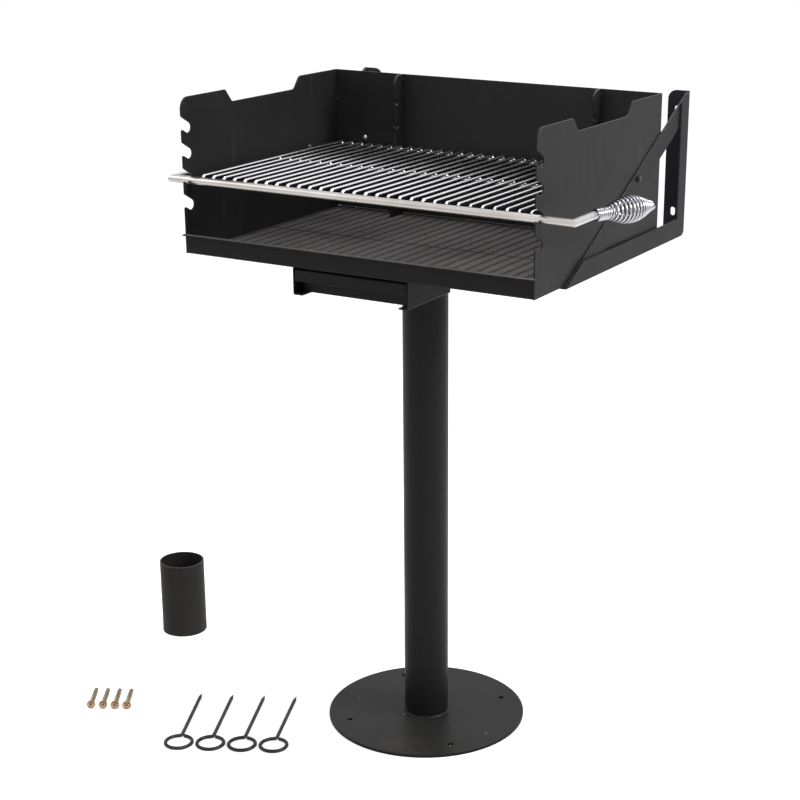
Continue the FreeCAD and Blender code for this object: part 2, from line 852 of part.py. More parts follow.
def ring_peg(k):
    """Pointed ground peg that lies flat, with an open ring at its head."""
    ring_r = (peg_ring_d - peg_wire_d) / 2
    neck_y = math.sqrt((ring_r + peg_neck_r) ** 2 - peg_neck_r ** 2)
    neck_centre = V(-peg_neck_r, neck_y, 0)
    ring_join = neck_centre * (ring_r / (ring_r + peg_neck_r))
    neck_way = (V(0, neck_y, 0) - neck_centre).normalize() + (ring_join - neck_centre).normalize()
    neck_mid = neck_centre + neck_way.normalize() * peg_neck_r
    join_deg = math.degrees(math.atan2(ring_join.y, ring_join.x))
    open_deg = math.degrees(math.asin((peg_wire_d / 2 + peg_ring_gap) / ring_r))
    end_deg = 360 + 90 - open_deg
    mid_deg = (join_deg + end_deg) / 2
    tip_y = peg_len - peg_ring_d / 2
    shank_end = V(0, tip_y - peg_point, 0)
    path = Part.Wire(
        [
            Part.LineSegment(shank_end, V(0, neck_y, 0)).toShape(),
            Part.Arc(V(0, neck_y, 0), neck_mid, ring_join).toShape(),
            Part.Arc(ring_join, on_ring(ring_r, mid_deg), on_ring(ring_r, end_deg)).toShape(),
        ]
    )
    wire = tube_along(path, peg_wire_d, shank_end, Y_AXIS * -1)
    point = Part.makeCone(peg_wire_d / 2, 0.4, peg_point, shank_end, Y_AXIS)
    peg = joined(wire, point)
    peg.rotate(ORIGIN, Z_AXIS, peg_heading_deg + k * peg_heading_step - 90)
    return moved(peg, peg_first_x + k * peg_step_x, peg_first_y + k * peg_step_y, peg_wire_d / 2)


def on_ring(radius, degrees):
    return V(radius * math.cos(math.radians(degrees)), radius * math.sin(math.radians(degrees)), 0)


def anchor_stud_length():
    return anchor_thread_out + anchor_nut_h + anchor_washer_t + anchor_sleeve_len + anchor_cone_len


def laid_down(shape, k):
    """Lay an anchor part on the ground: its washer's rim and its cone's end touch it."""
    drop = (anchor_washer_d - anchor_sleeve_d) / 2
    tilt = math.atan2(drop, anchor_sleeve_len + anchor_cone_len)
    part = shape.copy()
    part.rotate(ORIGIN, Y_AXIS, 90 + math.degrees(tilt))
    part.rotate(ORIGIN, Z_AXIS, anchor_heading_deg)
    height = anchor_washer_d / 2 * math.cos(tilt) + anchor_washer_t * math.sin(tilt)
    return moved(part, anchor_first_x + k * anchor_step_x, anchor_first_y + k * anchor_step_y, height)


def anchor_stud():
    """Threaded stud with the cone that spreads the sleeve. The washer's outer face is at z = 0."""
    start = V(0, 0, -anchor_nut_h - anchor_thread_out)
    length = anchor_stud_length() - anchor_cone_len
    stud = cylinder(anchor_stud_d, length, start, Z_AXIS)
    stud = stud.makeChamfer(stud_chamfer, edges_of_circle(stud, start.z))
    cone_z = anchor_washer_t + anchor_sleeve_len
    cone = Part.makeCone(anchor_stud_d / 2, anchor_sleeve_d / 2, anchor_cone_len, V(0, 0, cone_z), Z_AXIS)
    return joined(stud, cone)


def anchor_sleeve():
    """Thin sleeve round the stud, slit on four sides at its far end."""
    z = anchor_washer_t
    sleeve = cylinder(anchor_sleeve_d, anchor_sleeve_len, V(0, 0, z), Z_AXIS)
    sleeve = sleeve.cut(
        cylinder(anchor_stud_d + 2 * thread_slack, anchor_sleeve_len, V(0, 0, z), Z_AXIS)
    )
    half = anchor_slit / 2
    slit_z = z + anchor_sleeve_len / 2
    far = anchor_sleeve_d
    sleeve = sleeve.cut(box(-half, half, -far, far, slit_z, z + anchor_sleeve_len + 1))
    return sleeve.cut(box(-far, far, -half, half, slit_z, z + anchor_sleeve_len + 1))


def anchor_washer():
    washer = cylinder(anchor_washer_d, anchor_washer_t, ORIGIN, Z_AXIS)
    return washer.cut(cylinder(anchor_stud_d + 2 * thread_slack, anchor_washer_t, ORIGIN, Z_AXIS))


def anchor_nut():
    return moved(nut(anchor_nut_af, anchor_nut_h, anchor_stud_d), 0, 0, -anchor_nut_h)


def kit_group(shape):
    return Part.makeCompound([laid_down(shape, k) for k in range(kit_count)])


def all_parts():
    parts = {}
    parts["base_plate"] = base_plate()
    parts["post_tube"] = post_tube()
    parts["post_flange"] = post_flange()
    parts["flange_studs"] = flange_studs()
    parts["flange_nuts"] = flange_nuts()
    parts["firebox_tray"] = firebox_tray()
    parts["back_wall"] = back_wall()
    parts["back_rivets"] = back_rivets()
    parts["left_grate_fin"] = grate_fin(rod_x(left_fin_rod) + left_fin_offset)
    parts["right_grate_fin"] = grate_fin(rod_x(right_fin_rod) + right_fin_offset)
    pairs = {
        "side_wall": right_side_wall(),
        "support_arm": right_support_arm(),
        "wall_upright": right_wall_upright(),
        "brace": right_brace(),
    }
    for name, shape in pairs.items():
        parts["right_" + name] = shape
        parts["left_" + name] = mirrored(shape)
    parts["brace_bolts"] = Part.makeCompound([right_brace_bolt(), mirrored(right_brace_bolt())])
    parts["brace_nuts"] = Part.makeCompound([right_brace_nut(), mirrored(right_brace_nut())])
    parts["drawer_channel"] = drawer_channel()
    parts["ash_drawer"] = ash_drawer()
    parts["grate_front_bar"] = grate_front_bar()
    parts["grate_rods"] = grate_rods()
    parts["grate_mid_crossbar"] = grate_crossbar(mid_cross_y)
    parts["grate_rear_crossbar"] = grate_crossbar(rear_cross_y)
    ends = {"grate_arm": right_arm_at_origin(), "coil_handle": right_coil_handle(coil_at_origin())}
    for name, shape in ends.items():
        right = grate_corner(1)
        left = grate_corner(-1)
        parts["right_" + name] = moved(shape, right.x, right.y, right.z)
        parts["left_" + name] = moved(mirrored(shape), left.x, left.y, left.z)
    parts["ground_sleeve"] = ground_sleeve()
    parts["anchor_studs"] = kit_group(anchor_stud())
    parts["anchor_sleeves"] = kit_group(anchor_sleeve())
    parts["anchor_washers"] = kit_group(anchor_washer())
    parts["anchor_nuts"] = kit_group(anchor_nut())
    for k in range(kit_count):
        parts["ring_peg_" + str(k + 1)] = ring_peg(k)
    return parts


os.makedirs("parts", exist_ok=True)
print("coil gap", round(coil_gap(), 3), "mm over", coil_turns, "turns")
for node, shape in all_parts().items():
    shape.exportStep("parts/" + node + ".step")
    low = shape.BoundBox
    print(node, len(shape.Solids), "solids", "valid" if shape.isValid() else "NOT VALID", round(shape.Volume))
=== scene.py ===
import json
import math
import random

import bmesh
import bpy
from mathutils import Matrix, Vector


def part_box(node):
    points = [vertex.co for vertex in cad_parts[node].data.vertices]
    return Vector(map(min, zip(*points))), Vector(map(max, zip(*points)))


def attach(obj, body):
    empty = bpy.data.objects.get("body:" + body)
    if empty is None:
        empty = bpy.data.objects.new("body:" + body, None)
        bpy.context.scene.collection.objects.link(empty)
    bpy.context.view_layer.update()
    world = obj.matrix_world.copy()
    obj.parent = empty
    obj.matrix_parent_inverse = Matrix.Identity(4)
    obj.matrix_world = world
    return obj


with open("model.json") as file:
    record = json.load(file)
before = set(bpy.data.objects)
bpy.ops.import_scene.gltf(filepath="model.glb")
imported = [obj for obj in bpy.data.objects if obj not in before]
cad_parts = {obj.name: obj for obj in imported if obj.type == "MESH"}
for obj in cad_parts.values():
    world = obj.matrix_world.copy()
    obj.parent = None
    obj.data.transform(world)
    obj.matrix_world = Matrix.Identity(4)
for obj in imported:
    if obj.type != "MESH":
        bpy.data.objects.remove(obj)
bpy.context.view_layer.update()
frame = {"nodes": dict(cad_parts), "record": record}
scene = bpy.context.scene
scene.view_settings.view_transform = "Standard"

MM = 0.001


# Camera, at the photograph's viewing angle: metres, radians and pixels of the 800 x 800 image

CAMERA_AT = Vector((1.3662, -2.34996, 1.3965))
CAMERA_YAW = 0.4939
CAMERA_PITCH = 0.3298
CAMERA_ROLL = 0.0078
SENSOR = 36.0
IMAGE_SIDE = 800.0
FOCAL_PIXELS = 1763.92
CENTRE_PIXELS = (480.4, 453.7)


def make_camera():
    flat_right = Vector((math.cos(CAMERA_YAW), math.sin(CAMERA_YAW), 0))
    look = Vector((
        -math.sin(CAMERA_YAW) * math.cos(CAMERA_PITCH),
        math.cos(CAMERA_YAW) * math.cos(CAMERA_PITCH),
        -math.sin(CAMERA_PITCH),
    ))
    flat_up = flat_right.cross(look)
    right = math.cos(CAMERA_ROLL) * flat_right + math.sin(CAMERA_ROLL) * flat_up
    up = math.cos(CAMERA_ROLL) * flat_up - math.sin(CAMERA_ROLL) * flat_right
    data = bpy.data.cameras.new("camera")
    data.sensor_width = SENSOR
    data.lens = FOCAL_PIXELS * SENSOR / IMAGE_SIDE
    data.shift_x = (IMAGE_SIDE / 2 - CENTRE_PIXELS[0]) / IMAGE_SIDE
    data.shift_y = (CENTRE_PIXELS[1] - IMAGE_SIDE / 2) / IMAGE_SIDE
    data.clip_end = 50
    camera = bpy.data.objects.new("camera", data)
    axes = Matrix((right, up, -look)).transposed().to_4x4()
    camera.matrix_world = Matrix.Translation(CAMERA_AT) @ axes
    scene.collection.objects.link(camera)
    scene.camera = camera


make_camera()


# Helpers for node materials


def new_material(name):
    material = bpy.data.materials.new(name)
    material.use_nodes = True
    nodes = material.node_tree.nodes
    nodes.clear()
    output = nodes.new("ShaderNodeOutputMaterial")
    shader = nodes.new("ShaderNodeBsdfPrincipled")
    link(material, shader.outputs[0], output.inputs[0])
    return material, shader


def link(material, source, target):
    material.node_tree.links.new(source, target)


def place_noise(material, cells, detail=3.0, stretch=(1, 1, 1)):
    """Noise in the object's own coordinates, with so many cells a metre."""
    nodes = material.node_tree.nodes
    where = nodes.new("ShaderNodeTexCoord")
    mapping = nodes.new("ShaderNodeMapping")
    mapping.inputs["Scale"].default_value = stretch
    noise = nodes.new("ShaderNodeTexNoise")
    noise.inputs["Scale"].default_value = cells
    noise.inputs["Detail"].default_value = detail
    link(material, where.outputs["Object"], mapping.inputs[0])
    link(material, mapping.outputs[0], noise.inputs["Vector"])
    return noise.outputs[0]


def ramp(material, value, stops):
    """Colour ramp over a value; stops are (position, grey or colour)."""
    node = material.node_tree.nodes.new("ShaderNodeValToRGB")
    elements = node.color_ramp.elements
    while len(elements) < len(stops):
        elements.new(0.5)
    for element, (position, colour) in zip(elements, stops):
        element.position = position
        if isinstance(colour, (int, float)):
            colour = (colour, colour, colour)
        element.color = (*colour, 1)
    link(material, value, node.inputs[0])
    return node.outputs[0]


def blend_colours(material, factor, first, second, mode="MIX"):
    """Mix of two colours; each argument is a socket or a plain value."""
    node = material.node_tree.nodes.new("ShaderNodeMix")
    node.data_type = "RGBA"
    node.blend_type = mode
    sockets = (node.inputs[0], node.inputs[6], node.inputs[7])
    for socket, value in zip(sockets, (factor, first, second)):
        if isinstance(value, bpy.types.NodeSocket):
            link(material, value, socket)
        else:
            socket.default_value = value
    return node.outputs[2]


def multiply(material, first, second):
    return blend_colours(material, 1.0, first, second, "MULTIPLY")


def bump(material, shader, heights, normal=None):
    """Stacked bumps; heights are (value output, strength, distance in metres)."""
    for height, strength, distance in heights:
        node = material.node_tree.nodes.new("ShaderNodeBump")
        node.inputs["Strength"].default_value = strength
        node.inputs["Distance"].default_value = distance
        link(material, height, node.inputs["Height"])
        if normal is not None:
            link(material, normal, node.inputs["Normal"])
        normal = node.outputs[0]
    link(material, normal, shader.inputs["Normal"])


def separate(material, vector, axis):
    split = material.node_tree.nodes.new("ShaderNodeSeparateXYZ")
    link(material, vector, split.inputs[0])
    return split.outputs[axis]


def facing(material, axis):
    """How far the surface faces along an axis, from -1 to 1."""
    geometry = material.node_tree.nodes.new("ShaderNodeNewGeometry")
    return separate(material, geometry.outputs["Normal"], axis)


def spread(material, value, low, high):
    """A value as 0 at low to 1 at high."""
    node = material.node_tree.nodes.new("ShaderNodeMapRange")
    node.inputs["From Min"].default_value = low
    node.inputs["From Max"].default_value = high
    link(material, value, node.inputs["Value"])
    return node.outputs[0]


def place_along(material, axis, low, high):
    """0 to 1 between two places along one axis of the object, in metres."""
    where = material.node_tree.nodes.new("ShaderNodeTexCoord")
    return spread(material, separate(material, where.outputs["Object"], axis), low, high)


# Powder coat. Texture sizes are in noise cells a metre, lengths in metres.

PEEL_CELLS = 620
GRAIN_CELLS = 2600
CLOUD_CELLS = 7
WEAR_CELLS = 90
SMUDGE_CELLS = 60
SMEAR_STRETCH = (30, 55, 9)
PEEL_HEIGHT = 0.00012
GRAIN_HEIGHT = 0.00004
EDGE_RADIUS = 0.0012
FLOOR_SIDE = 0.3
# Colour of the dust and of the painted top light on what faces up.
DUST_AND_TOP_LIGHT_GREY = (0.16, 0.155, 0.15)
# Colour of the edge wear and painted edge highlight.
WORN_AND_LIT_GREY = (0.15, 0.148, 0.145)
SMEAR_GREY = (0.03, 0.027, 0.026)
SMUDGE_GREY = (0.062, 0.056, 0.046)


def edge_share(material):
    """A normal rounded over the edges, and a share that is 1 on them and 0 elsewhere."""
    nodes = material.node_tree.nodes
    rounded = nodes.new("ShaderNodeBevel")
    rounded.samples = 4
    rounded.inputs["Radius"].default_value = EDGE_RADIUS
    geometry = nodes.new("ShaderNodeNewGeometry")
    same = nodes.new("ShaderNodeVectorMath")
    same.operation = "DOT_PRODUCT"
    link(material, rounded.outputs[0], same.inputs[0])
    link(material, geometry.outputs["Normal"], same.inputs[1])
    return rounded.outputs[0], ramp(material, same.outputs["Value"], [(0.72, 1.0), (0.97, 0.0)])


def smudge_share(material, middle, half):
    """A rubbed patch with ragged sides, strongest at its middle and gone beyond its half sizes."""
    nodes = material.node_tree.nodes
    where = nodes.new("ShaderNodeTexCoord")
    mapping = nodes.new("ShaderNodeMapping")
    mapping.vector_type = "TEXTURE"
    mapping.inputs["Location"].default_value = (*middle, 0.0)
    mapping.inputs["Scale"].default_value = (*half, 1.0)
    away = nodes.new("ShaderNodeVectorMath")
    away.operation = "LENGTH"
    link(material, where.outputs["Object"], mapping.inputs[0])
    link(material, mapping.outputs[0], away.inputs[0])
    patch = ramp(material, away.outputs["Value"], [(0.35, 0.5), (1.0, 0.0)])
    ragged = place_noise(material, SMUDGE_CELLS, detail=5)
    return multiply(material, patch, ramp(material, ragged, [(0.35, 0.35), (0.6, 1.0)]))


def coat_colour(material, base, cloud, grain):
    """The coat's own colour, in slow clouds with a fine pale speckle."""
    colour = ramp(material, cloud, [(0.3, base), (0.7, tuple(c * 1.35 for c in base))])
    speckle = ramp(material, grain, [(0.55, 0.0), (0.75, 1.0)])
    return blend_colours(material, speckle, colour, (*[c * 2.2 for c in base], 1))


def smeared(material, colour):
    """Faint upright wipe marks."""
    smear = place_noise(material, 1.0, detail=5, stretch=SMEAR_STRETCH)
    smear = ramp(material, smear, [(0.56, 0.0), (0.74, 0.5)])
    return blend_colours(material, smear, colour, (*SMEAR_GREY, 1))


def dust_and_top_light_share(material, cloud, dust_and_top_light, painted_light_left_share):
    """Dust and painted top light on what faces up, patchy, and fading towards the left as painted
    light where a left share is given.
    """
    up = ramp(material, facing(material, "Z"), [(0.6, 0.0), (1.0, 1.0)])
    share = multiply(material, up, (dust_and_top_light, dust_and_top_light, dust_and_top_light, 1))
    share = multiply(material, share, ramp(material, cloud, [(0.3, 0.45), (0.7, 1.0)]))
    # Painted light: the share fades towards the left, so the floor reads lighter to the right.
    if painted_light_left_share is not None:
        across = place_along(material, "X", -FLOOR_SIDE, FLOOR_SIDE)
        share = multiply(material, share, ramp(material, across, [(0.0, painted_light_left_share), (1.0, 1.0)]))
    return share


def wear_and_highlight_share(material, rounded, on_edge, edge, low_edge):
    """Wear and painted highlight on the edges, uneven along them, and only low_edge of it on edges
    that don't face up.
    """
    uneven = place_noise(material, WEAR_CELLS, detail=3)
    uneven = ramp(material, uneven, [(0.35, 0.35 * edge), (0.65, edge)])
    # Painted highlight: edges that face up get the full share.
    top_lit = ramp(material, separate(material, rounded, "Z"), [(0.05, low_edge), (0.5, 1.0)])
    return multiply(material, multiply(material, on_edge, uneven), top_lit)


def powder_coat(
    name, base, specular=0.12, rough=0.42,
    dust_and_top_light=0.2, dust_and_top_light_colour=DUST_AND_TOP_LIGHT_GREY, painted_light_left_share=None,
    edge=0.5, edge_wear_and_highlight_colour=WORN_AND_LIT_GREY, low_edge=0.3,
    streaks=False, smudge=None, front_painted_light=None,
):
    """Fine-textured baked powder coat with worn edges and painted edge highlights, a thin film of
    dust with painted top light, and painted light on faces turned forward where a front colour is
    given.
    """
    material, shader = new_material(name)
    peel = place_noise(material, PEEL_CELLS, detail=2)
    grain = place_noise(material, GRAIN_CELLS, detail=1)
    cloud = place_noise(material, CLOUD_CELLS, detail=4)
    colour = coat_colour(material, base, cloud, grain)
    if streaks:
        colour = smeared(material, colour)
    # Dust and painted top light: what faces up is made lighter.
    dust_and_top_light_mask = dust_and_top_light_share(material, cloud, dust_and_top_light, painted_light_left_share)
    colour = blend_colours(material, dust_and_top_light_mask, colour, (*dust_and_top_light_colour, 1))
    if smudge is not None:
        rubbed = smudge_share(material, *smudge)
        colour = blend_colours(material, rubbed, colour, (*SMUDGE_GREY, 1))
    # Painted light: faces turned forward are given a lighter, bluish colour.
    if front_painted_light is not None:
        front_light_share = spread(material, facing(material, "Y"), -0.5, -0.9)
        colour = blend_colours(material, front_light_share, colour, (*front_painted_light, 1))
    # Edges made lighter: wear and painted highlight.
    rounded, on_edge = edge_share(material)
    worn_and_lit = wear_and_highlight_share(material, rounded, on_edge, edge, low_edge)
    colour = blend_colours(material, worn_and_lit, colour, (*edge_wear_and_highlight_colour, 1))
    link(material, colour, shader.inputs["Base Color"])
    shine = ramp(material, cloud, [(0.25, rough - 0.05), (0.75, rough + 0.07)])
    link(material, shine, shader.inputs["Roughness"])
    shader.inputs["Specular IOR Level"].default_value = specular
    bump(material, shader, [(peel, 0.22, PEEL_HEIGHT), (grain, 0.12, GRAIN_HEIGHT)], rounded)
    return material


# Bare and plated metal

DRAWN_CELLS_ACROSS = 420.0
DRAWN_CELLS_ALONG = 9.0
DRAWN_PATCH_CELLS = 18
PLATING_CELLS = 1800


def drawn_metal(name, base, rough, along, streak=0.5, tint=None, underside_dark=None):
    """Drawn or brushed metal whose fine streaks run along one axis, darker where it faces down."""
    material, shader = new_material(name)
    stretch = [DRAWN_CELLS_ALONG if axis == along else DRAWN_CELLS_ACROSS for axis in "xyz"]
    streaks = place_noise(material, 1.0, detail=4, stretch=stretch)
    patch = place_noise(material, DRAWN_PATCH_CELLS, detail=3)
    patch = ramp(material, patch, [(0.45, 0.0), (0.75, 0.6)])
    if tint is None:
        tint = tuple(c * 0.82 for c in base)
    in_streak = tuple(c * (1 - 0.25 * streak) for c in base)
    colour = ramp(material, streaks, [(0.3, in_streak), (0.7, base)])
    colour = blend_colours(material, patch, colour, (*tint, 1))
    # Darker where it faces down.
    if underside_dark is not None:
        not_facing_down = ramp(material, facing(material, "Z"), [(0.02, 0.0), (0.42, 1.0)])
        colour = blend_colours(material, not_facing_down, (*underside_dark, 1), colour)
    link(material, colour, shader.inputs["Base Color"])
    shine = ramp(material, streaks, [(0.25, rough + 0.08), (0.75, rough - 0.05)])
    link(material, shine, shader.inputs["Roughness"])
    shader.inputs["Metallic"].default_value = 1.0
    bump(material, shader, [(streaks, 0.1, 0.00003)])
    return material


def plated(name, base, rough, tint, cells):
    """Plated metal with faint clouds in its colour and shine."""
    material, shader = new_material(name)
    cloud = place_noise(material, cells, detail=4)
    fine = place_noise(material, PLATING_CELLS, detail=2)
    colour = ramp(material, cloud, [(0.35, base), (0.72, tint)])
    link(material, colour, shader.inputs["Base Color"])
    shine = ramp(material, cloud, [(0.3, rough - 0.03), (0.7, rough + 0.06)])
    link(material, shine, shader.inputs["Roughness"])
    shader.inputs["Metallic"].default_value = 1.0
    bump(material, shader, [(fine, 0.08, 0.00002)])
    return material


# The finishes. Colours are linear.

# Bare metal on worn edges, also serving as a painted edge highlight.
BARE_AND_LIT_EDGE = (0.6, 0.59, 0.58)
DISC_SMUDGE_MIDDLE = (0.042, -0.13)
DISC_SMUDGE_HALF = (0.058, 0.036)

POWDER = powder_coat("powder_black", (0.0085, 0.0082, 0.0082))
DISC_COAT = powder_coat(
    "powder_black_disc", (0.0075, 0.0071, 0.0071),
    dust_and_top_light=0.12, smudge=(DISC_SMUDGE_MIDDLE, DISC_SMUDGE_HALF),
)
PLATE_COAT = powder_coat(
    "powder_black_walls", (0.0115, 0.011, 0.011), edge=0.75, streaks=True,
)
# A lighter copy of the wall coat: painted light on the back wall.
BACK_COAT_LIT = powder_coat(
    "powder_black_back_lit", (0.0195, 0.0188, 0.0188), edge=0.75, streaks=True,
)
FIN_COAT = powder_coat(
    "powder_black_fins", (0.0115, 0.011, 0.011), specular=0.14, rough=0.4,
    edge=1.0, edge_wear_and_highlight_colour=BARE_AND_LIT_EDGE, low_edge=0.12,
)
BRACE_COAT = powder_coat(
    "powder_black_braces", (0.0095, 0.009, 0.009),
    edge=0.6, edge_wear_and_highlight_colour=BARE_AND_LIT_EDGE, low_edge=0.0,
)
# Floor sheet: heavy dust and painted top light, with painted light fading towards the left.
FLOOR_SHEET = powder_coat(
    "powder_black_floor", (0.011, 0.0105, 0.0105), rough=0.5,
    dust_and_top_light=0.7, dust_and_top_light_colour=(0.15, 0.143, 0.14), painted_light_left_share=0.6,
    edge=1.0, edge_wear_and_highlight_colour=(0.45, 0.44, 0.42), low_edge=0.05,
)
SLEEVE_COAT = powder_coat(
    "powder_black_sleeve", (0.022, 0.0205, 0.02), specular=0.08, rough=0.52,
)
# A darker, duller copy of the coat: painted shade on the channel under the tray.
CHANNEL_COAT_SHADED = powder_coat(
    "powder_black_channel_shaded", (0.006, 0.0058, 0.0058), specular=0.085,
)
# A lighter copy of the coat with strong wear and painted highlight on every edge: painted light on
# the brace bolts and nuts.
BOLT_COAT_LIT = powder_coat(
    "powder_black_bolts_lit", (0.03, 0.0295, 0.0295), specular=0.3, rough=0.36,
    edge=1.0, edge_wear_and_highlight_colour=(0.35, 0.345, 0.34), low_edge=0.6,
)
# Uprights: their forward faces carry painted light, a lighter bluish coat.
UPRIGHT_COAT_FRONT_LIT = powder_coat(
    "powder_black_uprights_front_lit", (0.0085, 0.0082, 0.0082), front_painted_light=(0.036, 0.035, 0.045),
)
WELD = powder_coat(
    "powder_black_weld", (0.0095, 0.009, 0.009), specular=0.2, rough=0.36,
    dust_and_top_light=0.0, edge=0.1,
)
WELD_SMOOTH = powder_coat(
    "powder_black_foot_weld", (0.006, 0.0058, 0.0058), specular=0.05, rough=0.6,
    dust_and_top_light=0.0, edge=0.0,
)
# The rods are darker where they face down.
STAINLESS_RODS = drawn_metal(
    "stainless_rods", (0.95, 0.95, 0.98), 0.25, "y", streak=0.2, underside_dark=(0.05, 0.05, 0.06),
)
STAINLESS_ARMS = drawn_metal("stainless_arms", (0.64, 0.63, 0.63), 0.3, "y")
STAINLESS_BARS = drawn_metal(
    "stainless_bars", (0.62, 0.595, 0.575), 0.28, "x", streak=0.9, tint=(0.4, 0.36, 0.32),
)
CHROME = plated("chrome_wire", (0.52, 0.52, 0.54), 0.13, (0.44, 0.44, 0.47), 90)
BRIGHT_HEAD = plated("bright_rivet_heads", (0.5, 0.5, 0.5), 0.34, (0.4, 0.4, 0.4), 400)
ZINC = plated("bright_zinc", (0.6, 0.6, 0.61), 0.32, (0.5, 0.5, 0.52), 120)
YELLOW_ZINC = plated("yellow_zinc", (0.17, 0.155, 0.09), 0.3, (0.48, 0.36, 0.24), 420)
YELLOW_ZINC_NUTS = plated(
    "yellow_zinc_nuts", (0.34, 0.27, 0.16), 0.24, (0.62, 0.44, 0.32), 300,
)
DARK_STEEL = plated("dark_steel", (0.042, 0.043, 0.05), 0.4, (0.027, 0.027, 0.034), 50)
WELD_DULL = plated(
    "stainless_weld_dull", (0.24, 0.235, 0.235), 0.5, (0.12, 0.115, 0.115), 900,
)
WELD_BRIGHT = plated("stainless_weld", (0.85, 0.84, 0.84), 0.36, (0.4, 0.39, 0.39), 900)
SCUFF = plated("bare_scuff", (0.42, 0.42, 0.42), 0.5, (0.26, 0.26, 0.26), 500)

SLOT_MATERIAL = {
    "powder_black": POWDER,
    "stainless": STAINLESS_BARS,
    "chrome": CHROME,
    "zinc": ZINC,
    "yellow_zinc": YELLOW_ZINC,
    "dark_steel": DARK_STEEL,
}
# Nodes whose finish isn't their slot's plain one
NODE_MATERIAL = {
    "base_plate": DISC_COAT,
    "firebox_tray": FLOOR_SHEET,
    "left_side_wall": PLATE_COAT,
    "right_side_wall": PLATE_COAT,
    "back_wall": BACK_COAT_LIT,
    "back_rivets": BRIGHT_HEAD,
    "left_grate_fin": FIN_COAT,
    "right_grate_fin": FIN_COAT,
    "left_brace": BRACE_COAT,
    "right_brace": BRACE_COAT,
    "brace_bolts": BOLT_COAT_LIT,
    "brace_nuts": BOLT_COAT_LIT,
    "left_wall_upright": UPRIGHT_COAT_FRONT_LIT,
    "right_wall_upright": UPRIGHT_COAT_FRONT_LIT,
    "drawer_channel": CHANNEL_COAT_SHADED,
    "ground_sleeve": SLEEVE_COAT,
    "grate_rods": STAINLESS_RODS,
    "left_grate_arm": STAINLESS_ARMS,
    "right_grate_arm": STAINLESS_ARMS,
    "anchor_nuts": YELLOW_ZINC_NUTS,
    "anchor_washers": YELLOW_ZINC_NUTS,
}


def dress(piece, material):
    piece.data.materials.clear()
    piece.data.materials.append(material)


def dress_cad_nodes():
    for subpart in frame["record"]["subparts"]:
        name = subpart["node"]
        material = NODE_MATERIAL.get(name, SLOT_MATERIAL[subpart["material_slot"]])
        dress(frame["nodes"][name], material)


dress_cad_nodes()


# Meshes for weld metal, threads and specks, built in millimetres


def add_piece(name, shape, material, body):
    """Turns a mesh built in millimetres into a piece that rides on a body."""
    bmesh.ops.scale(shape, vec=(MM, MM, MM), verts=shape.verts)
    bmesh.ops.recalc_face_normals(shape, faces=shape.faces)
    mesh = bpy.data.meshes.new(name)
    shape.to_mesh(mesh)
    shape.free()
    for polygon in mesh.polygons:
        polygon.use_smooth = True
    piece = bpy.data.objects.new(name, mesh)
    scene.collection.objects.link(piece)
    dress(piece, material)
    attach(piece, body)


def ring_directions(way):
    """Two directions across a line that runs this way."""
    if abs(way.z) > 0.9:
        aside = way.orthogonal().normalized()
    else:
        aside = way.cross(Vector((0, 0, 1))).normalized()
    return aside, aside.cross(way)


def sweep(shape, centres, radius_at, closed, sides=8):
    """Tube of changing radius round a line of points."""
    count = len(centres)
    rings = []
    for k, centre in enumerate(centres):
        behind = centres[(k - 1) % count] if closed or k else centre
        ahead = centres[(k + 1) % count] if closed or k < count - 1 else centre
        aside, upright = ring_directions((ahead - behind).normalized())
        ring = []
        for j in range(sides):
            turn = 2 * math.pi * j / sides
            out = math.cos(turn) * aside + math.sin(turn) * upright
            ring.append(shape.verts.new(centre + radius_at(k) * out))
        rings.append(ring)
    pairs = list(zip(rings, rings[1:]))
    if closed:
        pairs.append((rings[-1], rings[0]))
    else:
        shape.faces.new(rings[0])
        shape.faces.new(rings[-1])
    for here, there in pairs:
        for j in range(sides):
            after = (j + 1) % sides
            shape.faces.new((here[j], here[after], there[after], there[j]))


def weld_bead(shape, start, end, radius, rng):
    """Straight bead with the scalloped ripples of its passes, tapered at both ends."""
    start, end = Vector(start), Vector(end)
    count = max(6, int((end - start).length / 0.7))
    centres = [start.lerp(end, k / count) for k in range(count + 1)]
    wander = [rng.uniform(-0.12, 0.12) for _ in centres]

    def radius_at(k):
        taper = min(1.0, 0.35 + 0.3 * min(k, count - k))
        return radius * taper * (1 + 0.14 * math.sin(2.4 * k) + wander[k])

    sweep(shape, centres, radius_at, False)


def ring_bead(shape, middle, ring_radius, radius, rng):
    """Closed bead round a tube, rippled as the straight ones are."""
    count = int(2 * math.pi * ring_radius / 0.9)
    centres = []
    for k in range(count):
        turn = 2 * math.pi * k / count
        out = Vector((math.cos(turn), math.sin(turn), 0))
        centres.append(Vector(middle) + ring_radius * out)
    wander = [rng.uniform(-0.1, 0.1) for _ in centres]

    def radius_at(k):
        return radius * (1 + 0.13 * math.sin(2 * math.pi * k / 3) + wander[k])

    sweep(shape, centres, radius_at, True)


def blob(shape, centre, size, rng):
    """A small uneven lump, with its three half sizes."""
    made = bmesh.ops.create_icosphere(shape, subdivisions=2, radius=1.0)["verts"]
    push = Vector((rng.uniform(-1, 1), rng.uniform(-1, 1), rng.uniform(-1, 1)))
    for vertex in made:
        swell = 1 + 0.16 * math.sin(3 * vertex.co.dot(push) + push.x * 4)
        vertex.co = Vector(centre) + Vector([c * s * swell for c, s in zip(vertex.co, size)])


